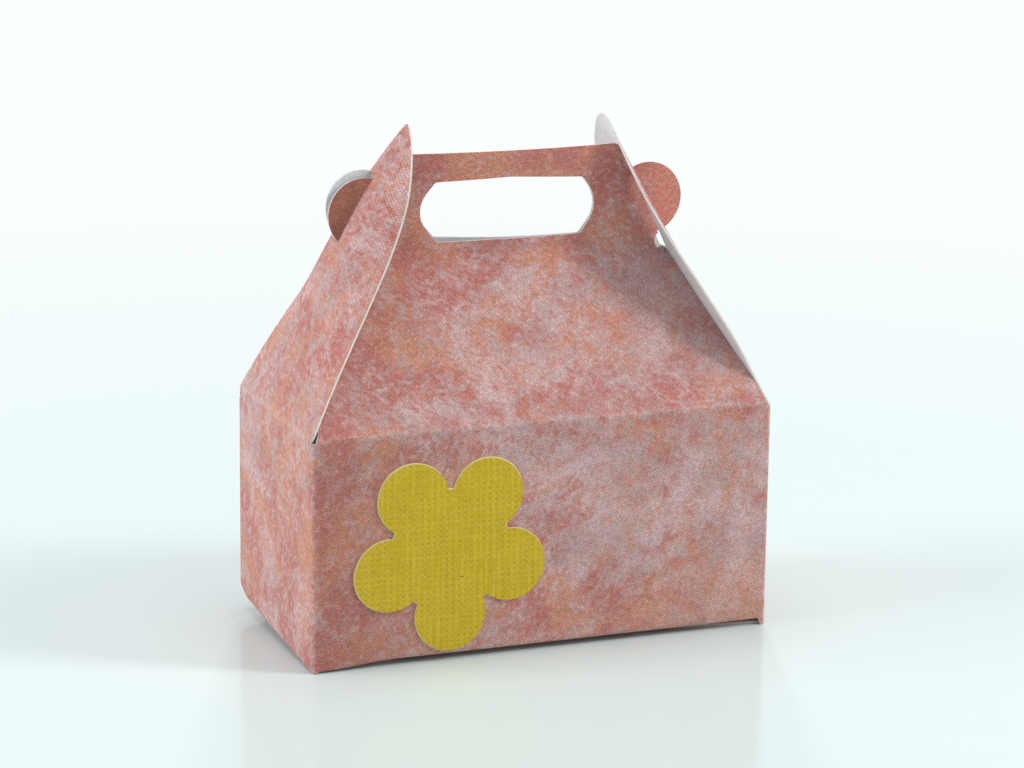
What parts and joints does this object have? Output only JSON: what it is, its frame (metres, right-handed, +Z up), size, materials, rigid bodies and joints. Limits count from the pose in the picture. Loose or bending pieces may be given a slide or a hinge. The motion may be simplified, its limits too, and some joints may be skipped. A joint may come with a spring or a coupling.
{
  "type": "gable box",
  "caption": "Small folded card gable box with a sloping roof, upright handle with a hand hole, slotted pointed end flaps hooked over round ears, and a glued-on flower.",
  "frame": {"origin": "middle of the footprint, on the surface that the box stands on", "axes": "+Z up through the handle, +X to the right along the wide front, +Y from the front to the back"},
  "size_m": [0.05, 0.0243, 0.0528],
  "materials": {
    "printed_card": "matt printed card, mottled coral pink outside, white inside and at cut edges",
    "flower_card": "matt mustard yellow card with a linen weave"
  },
  "bodies": {
    "box": {"box_sheet": "printed_card", "flower": "flower_card"},
    "left_flap": {"left_end_flap": "printed_card"},
    "right_flap": {"right_end_flap": "printed_card"}
  },
  "joints": [
    {"name": "left_flap_fold", "type": "hinge", "parent": "box", "child": "left_flap", "pos_m": [-0.02485, 0, 0.02385], "axis": [0, -1, 0], "range_deg": [0, 115]},
    {"name": "right_flap_fold", "type": "hinge", "parent": "box", "child": "right_flap", "pos_m": [0.02485, 0, 0.02385], "axis": [0, 1, 0], "range_deg": [0, 115]}
  ]
}
